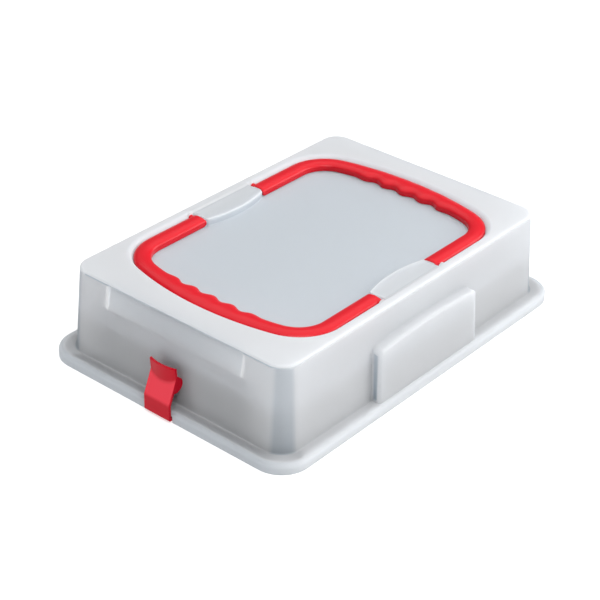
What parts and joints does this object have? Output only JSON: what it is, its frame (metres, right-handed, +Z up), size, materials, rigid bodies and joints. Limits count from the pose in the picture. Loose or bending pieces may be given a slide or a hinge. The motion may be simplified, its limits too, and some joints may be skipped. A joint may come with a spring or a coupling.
{
  "type": "cake pan with carrying hood",
  "caption": "Rectangular non-stick cake pan stored upside down in a translucent carrying hood with a sunken top, folding U-shaped handles and hinged end clips.",
  "frame": {"origin": "middle of the base, in the plane that the hood's flange stands on", "axes": "+X along the long sides, +Y along the short sides, +Z up towards the sunken top and handles"},
  "size_m": [0.426, 0.296, 0.096],
  "materials": {
    "pan_coating": "satin",
    "hood_plastic": "matte",
    "handle_plastic": "satin",
    "clip_plastic": "satin"
  },
  "bodies": {
    "base": {"pan": "pan_coating", "lid": "hood_plastic"},
    "handle_left": {"handle_left": "handle_plastic"},
    "handle_right": {"handle_right": "handle_plastic"},
    "clip_left": {"clip_left": "clip_plastic"},
    "clip_right": {"clip_right": "clip_plastic"}
  },
  "joints": [
    {"name": "handle_left_hinge", "type": "hinge", "parent": "base", "child": "handle_left", "pos_m": [-0.045, 0, 0.0915], "axis": [0, 1, 0], "range_deg": [0, 100]},
    {"name": "handle_right_hinge", "type": "hinge", "parent": "base", "child": "handle_right", "pos_m": [0.045, 0, 0.0915], "axis": [0, -1, 0], "range_deg": [0, 100]},
    {"name": "clip_left_hinge", "type": "hinge", "parent": "base", "child": "clip_left", "pos_m": [-0.199, 0, 0.0355], "axis": [0, 1, 0], "range_deg": [0, 26]},
    {"name": "clip_right_hinge", "type": "hinge", "parent": "base", "child": "clip_right", "pos_m": [0.199, 0, 0.0355], "axis": [0, -1, 0], "range_deg": [0, 26]}
  ]
}
